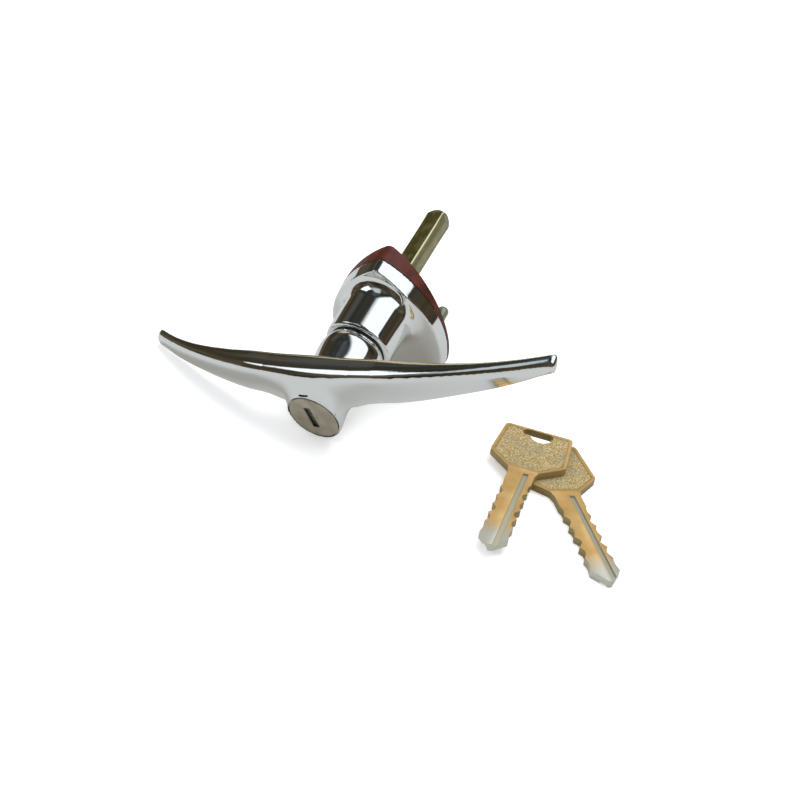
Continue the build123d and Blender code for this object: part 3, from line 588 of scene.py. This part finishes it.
# %% Handle casting: skin and zones
half_span = 71.2  # mm from the spindle's axis to a tip of the bar
hub_core, hub_reach = 7.4, 21.0  # mm from the axis: the blend lies between, the free bar beyond
blend_front, blend_back = 0.5, 17.0  # mm behind the lock's face, where hub, bar and neck meet
casting = merged_copy("handle", "handle_casting")
filler = turned_bar("filler", radius=8.4, start=0.02, end=2.4)
only(casting)
filler.select_set(True)
bpy.ops.object.join()
apply_modifier(casting, "REMESH", mode="VOXEL", voxel_size=0.38 * MM, use_smooth_shade=True)
blend_zone, bar_zone, tip_zone = (casting.vertex_groups.new(name=zone)
                                  for zone in ("blend", "bar", "tips"))
for vertex in casting.data.vertices:
    depth, radius, _, reach = drawing_place(vertex.co)
    if radius > hub_reach:
        outward = min(1, reach / half_span)
        ridge_depth = 3.1 + 15.7 * outward ** 1.95
        back_edge_depth = 11.9 + 10.6 * outward ** 4
        backward = fade(depth, ridge_depth, back_edge_depth)
        blend_zone.add([vertex.index], 0.5, "REPLACE")
        bar_zone.add([vertex.index], fade(radius, hub_reach, hub_reach + 6), "REPLACE")
        tip_zone.add([vertex.index], backward * fade(outward, 0.45, 0.95), "REPLACE")
    elif radius > hub_core and blend_front < depth < blend_back:
        strength = fade(radius, hub_reach + 3, hub_reach - 3)
        strength *= fade(depth, blend_front, blend_front + 1.5)
        strength *= fade(depth, blend_back, blend_back - 2)
        blend_zone.add([vertex.index], strength, "REPLACE")
print("handle skin:", len(casting.data.vertices), "points")

# %% [markdown]
# The skin is smoothed a little all over and much more in the blend. Smoothing thins the bar's
# edges by a third of a millimetre, which is given back by swelling it, and the back edge is
# raised at the tips, where the photograph shows it higher. The brow over the lock's face gets a
# long smoothing of its own, or else the mirror shows a dent there. Last come the sharp forms:
# the lock's recess and bore, and the stake mark that holds the lock in.

# %% Handle casting: smoothing and cuts
apply_modifier(casting, "SMOOTH", factor=0.5, iterations=10)
apply_modifier(casting, "SMOOTH", factor=0.5, iterations=110, vertex_group="blend")
apply_modifier(casting, "DISPLACE", strength=0.35 * MM, mid_level=0, vertex_group="bar")
apply_modifier(casting, "DISPLACE", strength=0.8 * MM, mid_level=0, direction="Z",
               vertex_group="tips")
brow_zone = casting.vertex_groups.new(name="brow")
brow_foot, brow_inside, brow_outside, brow_depth = -4, 8.6, 13.5, 8
for vertex in casting.data.vertices:
    depth, radius, up, _ = drawing_place(vertex.co)
    if up > brow_foot and brow_inside < radius < brow_outside and depth < brow_depth:
        strength = fade(up, brow_foot, brow_foot + 3)
        strength *= fade(radius, brow_inside, brow_inside + 0.2)
        strength *= fade(radius, brow_outside, brow_outside - 3)
        brow_zone.add([vertex.index], strength, "REPLACE")
apply_modifier(casting, "SMOOTH", factor=0.5, iterations=300, vertex_group="brow")
cut_away(casting, turned_bar("recess", radius=8.5, start=-1, end=1.8))
cut_away(casting, turned_bar("bore", radius=6.93, start=1, end=2.6))
cut_away(casting, cut_block("stake", width=3.2, height=0.5, start=-1, end=1.3,
                            middle=(0.4, 8.95)))
give_finish(casting, chrome, 40)
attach(casting, "grip")
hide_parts("handle")
print("handle casting:", len(casting.data.polygons), "faces")

# %% [markdown]
# The base is a second casting, with a cove where its collar grows out of the pointed flange.
# It gets the same voxel skin, a little finer, and light smoothing, which leaves the soft edges
# that plating gives. The skin rounds the notch into which the lock's bolt drops, so the notch is
# cut square again.

# %% Base casting
base = merged_copy("escutcheon", "base_casting")
apply_modifier(base, "REMESH", mode="VOXEL", voxel_size=0.3 * MM, use_smooth_shade=True)
apply_modifier(base, "SMOOTH", factor=0.5, iterations=5)
cut_away(base, cut_block("notch", width=7.7, height=9.7, start=30.15, end=33.5, middle=(0, -4.85)))
give_finish(base, chrome, 50)
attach(base, "base")
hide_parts("escutcheon")
print("base casting:", len(base.data.polygons), "faces")

# %% [markdown]
# The keys are cut from flat brass. The field of each bow is sunk 0.15 mm inside a smooth rim and
# shot-blasted. Insetting the bow's face would do on a clean mesh, but the copy's face is many
# triangles, so the field is cut with a block that is itself cut down to six sides, 1.2 mm inside
# the bow's outline. A key's own frame has its origin at the end of the bow, on the top face, with
# the blade towards minus Y.

# %% Keys: the frame of a key and the cutter for its bow
table_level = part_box("lower_key")[0][2] / MM
field_rim, field_depth = 1.2, 0.15
bow_outline = [(-10.6, 23.2), (10.6, 23.2), (11.5, 6.3), (4.6, 0.0), (-4.6, 0.0), (-11.5, 6.3)]
bow_length = bow_outline[0][1]


def key_place(key_x, key_y, way_deg, top):
    """The frame of a key that lies flat: its blade points this way round, its top is this high."""
    way = radians(way_deg)
    turned = Matrix(((-sin(way), -cos(way), 0), (cos(way), -sin(way), 0), (0, 0, 1))).to_4x4()
    return Matrix.Translation(Vector((key_x, key_y, table_level + top)) * MM) @ turned


def bow_field(place):
    """A six-sided cutter, a rim's width inside the bow's outline, in a key's own frame."""
    bpy.ops.object.select_all(action="DESELECT")
    bpy.ops.mesh.primitive_cube_add(size=1)
    cutter = bpy.context.object
    cutter.scale = (40 * MM, 40 * MM, 2 * field_depth * MM)
    cutter.location = (0, bow_length / 2 * MM, 0)
    place_kept_in_mesh()
    bpy.ops.object.mode_set(mode="EDIT")
    for first, second in zip(bow_outline, bow_outline[1:] + bow_outline[:1]):
        side = Vector((second[0] - first[0], second[1] - first[1], 0)).normalized()
        outward = side.cross(Vector((0, 0, -1)))
        corner = Vector((*first, 0)) - outward * field_rim
        bpy.ops.mesh.select_all(action="SELECT")
        bpy.ops.mesh.bisect(plane_co=corner * MM, plane_no=outward, use_fill=True,
                            clear_outer=True)
    bpy.ops.object.mode_set(mode="OBJECT")
    cutter.matrix_world = place
    only(cutter)
    place_kept_in_mesh()
    return cutter


print("key helpers ready, table at", round(table_level, 2), "mm")

# %% [markdown]
# Each key is a copy of its solid with the edges rounded by 0.15 mm, as tumbling does, so that
# they catch a thin line of light. The field is then cut, and the faces are marked for the brass:
# the grainy field, the groove's floor and sides, and the cut sides that get a painted shade. The
# last mark runs along the blade in millimetres, for the worn tip.

# %% Keys
def finished_key(node, place, body):
    """A key with rounded edges, a sunk bow and the marks that its brass reads."""
    key = merged_copy(node, node + "_brass")
    apply_modifier(key, "BEVEL", width=0.15 * MM, segments=2, limit_method="ANGLE",
                   angle_limit=radians(40))
    cut_away(key, bow_field(place), solver="EXACT")
    back = place.inverted()
    for name in ("grain", "milled", "side_shade"):
        key.data.attributes.new(name, "FLOAT", "FACE")
    key.data.attributes.new("along", "FLOAT", "POINT")
    grain, milled, side_shade, along = (key.data.attributes[name].data
                                  for name in ("grain", "milled", "side_shade", "along"))
    for face in key.data.polygons:
        middle = back @ face.center / MM
        in_field = middle.y > 0 and abs(middle.z + field_depth) < 0.02
        in_groove = 0.45 < middle.x < 2.15 and middle.y < -1 and -0.7 < middle.z < -0.04
        grain[face.index].value = float(in_field)
        milled[face.index].value = float(in_groove)
        # Painted shade: the cut sides get this mark, which darkens them.
        side_shade[face.index].value = 0.85 if abs(face.normal.z) < 0.4 else 0.0
    for vertex in key.data.vertices:
        along[vertex.index].value = -(back @ vertex.co).y / MM
    give_finish(key, key_brass, 30)
    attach(key, body)
    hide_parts(node)
    print(key.name, len(key.data.polygons), "faces")


finished_key("upper_key", key_place(60.9, -33.8, way_deg=-85.7, top=4.45), "key_above")
finished_key("lower_key", key_place(74.3, -34.4, way_deg=-56.9, top=2.2), "key_below")

# %% [markdown]
# The spindle keeps its measured shape with rounded corners. Drawn bar has a radius of about
# 0.4 mm on its corners. A bevel by angle would also round the rim of its end and its holes, so
# the four long corners get a bevel weight, and the bevel follows the weights. A pale line is
# painted along the corners as a painted highlight, and the two sides are painted a little paler.

# %% Spindle
def on_long_corner(middle, way):
    """Whether an edge with this middle and direction is one of the spindle's long corners."""
    inside = 3.1 * MM
    return (abs(way.dot(inward)) > 0.99 and abs(middle.dot(along_bar)) > inside and
            abs(middle.dot(over_bar)) > inside)


spindle = merged_copy("spindle", "drawn_spindle")
weights = spindle.data.attributes.new("bevel_weight_edge", "FLOAT", "EDGE")
for edge in spindle.data.edges:
    first, second = (spindle.data.vertices[i].co for i in edge.vertices)
    rounded = on_long_corner((first + second) / 2, (second - first).normalized())
    weights.data[edge.index].value = float(rounded)
apply_modifier(spindle, "BEVEL", width=0.4 * MM, segments=3, limit_method="WEIGHT",
               use_clamp_overlap=False)
give_finish(spindle, spindle_zinc, 45)
# Painted light: a pale line along the long corners is a painted highlight, and the sides that face
# along the bar are painted a little paler.
corner_highlight, side_light = 0.95, 0.25
painted_light = spindle.data.attributes.new("painted_light", "FLOAT", "FACE")
for face in spindle.data.polygons:
    sideways, upward = abs(face.normal.dot(along_bar)), abs(face.normal.dot(over_bar))
    on_corner = min(sideways, upward) > 0.25 and abs(face.normal.dot(inward)) < 0.3
    painted_light.data[face.index].value = corner_highlight if on_corner else side_light * (sideways > 0.9)
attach(spindle, "grip")
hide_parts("spindle")
print("drawn spindle:", len(spindle.data.polygons), "faces")
